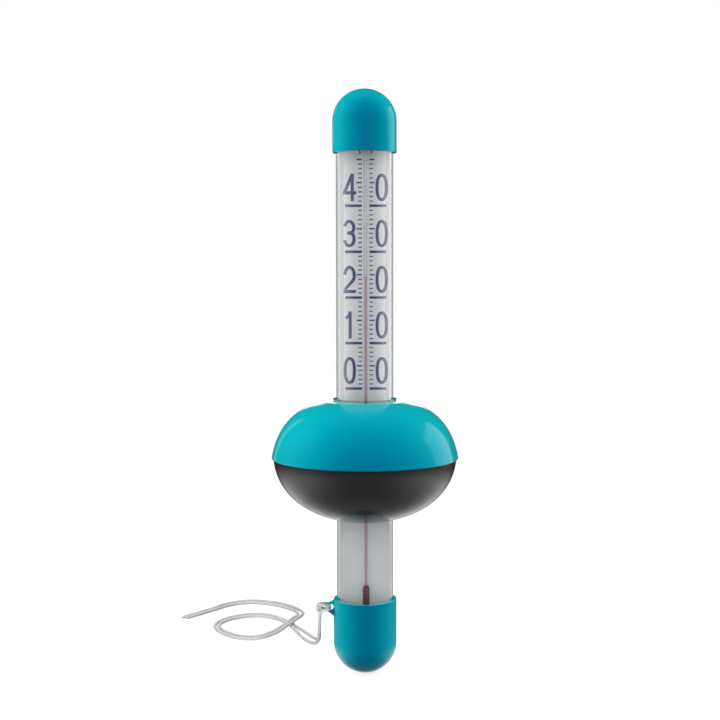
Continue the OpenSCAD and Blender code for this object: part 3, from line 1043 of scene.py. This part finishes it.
def make_lights():
    """Soft banks light the object; other boxes, seen only as reflections, draw its highlights.

    cord_bounce stands for the light that a pale floor throws up at the hanging cord.
    """
    softbox("left_bank", -98, 18, 1.2, 1.2, 1.2, 4.8, wanted=not_cord)
    softbox("right_bank", 100, 22, 1.2, 1.2, 1.2, 3.8, wanted=not_cord)
    softbox("top_back", 180, 75, 2.2, 2.0, 2.0, 2.7, wanted=not_cord)
    softbox("front_fill_cool", 0, 20, 1.6, 1.4, 1.2, 2.5, (0.40, 0.40, 1.0), wanted=turquoise)
    softbox("front_fill", 0, 14, 1.6, 1.4, 1.2, 1.8, (0.96, 0.98, 1.0), wanted=neither)
    softbox("cord_top", 180, 75, 1.6, 1.4, 1.4, 4.5, wanted=cord)
    softbox("cord_front", -20, 6, 1.4, 1.0, 1.0, 3.5, wanted=cord)
    softbox("cord_bounce", -20, -35, 1.2, 1.0, 1.0, 2.3, wanted=cord, through_floor=True)
    softbox("right_box", 114, 10, 1.2, 0.87, 1.1, 1.4, glossy=True)
    softbox("left_strip", -143, 8, 1.2, 0.14, 0.9, 0.5, glossy=True, wanted=turquoise)
    softbox("back_patch", 180, 8.5, 2.0, 0.7, 0.45, 3.0, glossy=True, wanted=float_top)
    softbox("tube_left_far", -110, 5.7, 1.2, 0.97, 0.6, 2.0, glossy=True, wanted=clear)
    softbox("tube_left_near", -66, 5.7, 1.2, 1.1, 0.6, 4.2, glossy=True, wanted=clear, ramp=(1, 0))
    softbox("tube_right_near", 68, 5.7, 1.2, 1.1, 0.6, 4.8, glossy=True, wanted=clear, ramp=(0, 1))
    softbox("tube_right_far", 114, 5.7, 1.2, 0.95, 0.6, 1.2, glossy=True, wanted=clear)


def make_world():
    """White to the camera, pale through clear parts, dim to the rest; a pale floor shows in reflections."""
    back_level, front_level, room_level = 1.25, 0.30, 0.03
    fill_level, seen_through = 0.06, 0.62
    world = bpy.data.worlds.new("studio")
    bpy.context.scene.world = world
    world.use_nodes = True
    nodes, links = world.node_tree.nodes, world.node_tree.links
    nodes.clear()
    place = nodes.new("ShaderNodeTexCoord")
    parts = nodes.new("ShaderNodeSeparateXYZ")
    links.new(place.outputs["Generated"], parts.inputs["Vector"])

    def span(value, low_in, high_in, low_out, high_out):
        node = nodes.new("ShaderNodeMapRange")
        node.interpolation_type = "SMOOTHSTEP"
        node.inputs["From Min"].default_value = low_in
        node.inputs["From Max"].default_value = high_in
        node.inputs["To Min"].default_value = low_out
        node.inputs["To Max"].default_value = high_out
        links.new(value, node.inputs["Value"])
        return node.outputs["Result"]

    below = span(parts.outputs["Z"], -0.50, -0.20, 1.0, 0.0)
    front = span(parts.outputs["Y"], -0.85, 0.05, front_level, back_level)
    shade = span(parts.outputs["Z"], -0.95, -0.5, 0.3, 1.0)
    under = nodes.new("ShaderNodeMath")
    under.operation = "MULTIPLY"
    links.new(below, under.inputs[0])
    links.new(shade, under.inputs[1])
    product = nodes.new("ShaderNodeMath")
    product.operation = "MULTIPLY_ADD"
    links.new(under.outputs["Value"], product.inputs[0])
    links.new(front, product.inputs[1])
    product.inputs[2].default_value = room_level
    path = nodes.new("ShaderNodeLightPath")

    def background(level):
        node = nodes.new("ShaderNodeBackground")
        node.inputs["Color"].default_value = (1, 1, 1, 1)
        node.inputs["Strength"].default_value = level
        return node

    def choose(flag, otherwise, chosen):
        node = nodes.new("ShaderNodeMixShader")
        links.new(path.outputs[flag], node.inputs["Fac"])
        links.new(otherwise.outputs[0], node.inputs[1])
        links.new(chosen.outputs[0], node.inputs[2])
        return node

    mirrored = background(1.0)
    links.new(product.outputs["Value"], mirrored.inputs["Strength"])
    room = choose("Is Glossy Ray", background(fill_level), mirrored)
    through = choose("Is Transmission Ray", room, background(seen_through))
    seen = choose("Is Camera Ray", through, background(1.0))
    out = nodes.new("ShaderNodeOutputWorld")
    links.new(seen.outputs[0], out.inputs["Surface"])


def make_floor():
    """Pale floor under the foot that fades into the white background."""
    half, drop = 1600.0, 0.02   # half its width, and how far it lies under the foot
    fade_from, fade_to = 0.35, 0.75
    glow_level, paper_grey, dim_grey = 0.80, 0.35, 0.12
    corners = [(-half, -half, -drop), (half, -half, -drop), (half, half, -drop), (-half, half, -drop)]
    floor = mesh_object("floor", corners, [[0, 1, 2, 3]])
    material = bpy.data.materials.new("pale_floor")
    material.use_nodes = True
    nodes, links = material.node_tree.nodes, material.node_tree.links
    nodes.clear()
    path = nodes.new("ShaderNodeLightPath")
    seen = nodes.new("ShaderNodeMath")
    seen.operation = "MAXIMUM"
    links.new(path.outputs["Is Camera Ray"], seen.inputs[0])
    links.new(path.outputs["Is Transmission Ray"], seen.inputs[1])
    glow = nodes.new("ShaderNodeEmission")
    glow.inputs["Strength"].default_value = glow_level
    paper = nodes.new("ShaderNodeBsdfDiffuse")
    paper.inputs["Color"].default_value = (paper_grey, paper_grey, paper_grey, 1)
    pale = nodes.new("ShaderNodeAddShader")
    links.new(glow.outputs["Emission"], pale.inputs[0])
    links.new(paper.outputs["BSDF"], pale.inputs[1])
    dim = nodes.new("ShaderNodeBsdfDiffuse")
    dim.inputs["Color"].default_value = (dim_grey, dim_grey, dim_grey, 1)
    surface = nodes.new("ShaderNodeMixShader")
    links.new(seen.outputs["Value"], surface.inputs["Fac"])
    links.new(dim.outputs["BSDF"], surface.inputs[1])
    links.new(pale.outputs["Shader"], surface.inputs[2])
    place = nodes.new("ShaderNodeTexCoord")
    distance = nodes.new("ShaderNodeVectorMath")
    distance.operation = "LENGTH"
    links.new(place.outputs["Object"], distance.inputs[0])
    fade = nodes.new("ShaderNodeMapRange")
    fade.inputs["From Min"].default_value = fade_from
    fade.inputs["From Max"].default_value = fade_to
    links.new(distance.outputs["Value"], fade.inputs["Value"])
    gone = nodes.new("ShaderNodeBsdfTransparent")
    mix = nodes.new("ShaderNodeMixShader")
    links.new(fade.outputs["Result"], mix.inputs["Fac"])
    links.new(surface.outputs["Shader"], mix.inputs[1])
    links.new(gone.outputs["BSDF"], mix.inputs[2])
    out = nodes.new("ShaderNodeOutputMaterial")
    links.new(mix.outputs["Shader"], out.inputs["Surface"])
    floor.data.materials.append(material)
    floor.visible_glossy = False
    floor.visible_transmission = False


make_camera()
make_cord()
make_caps()
make_tube()
make_float()
make_stem()
make_print()
dress_frame()
make_world()
make_floor()
make_lights()
bpy.context.scene.view_settings.view_transform = "Standard"
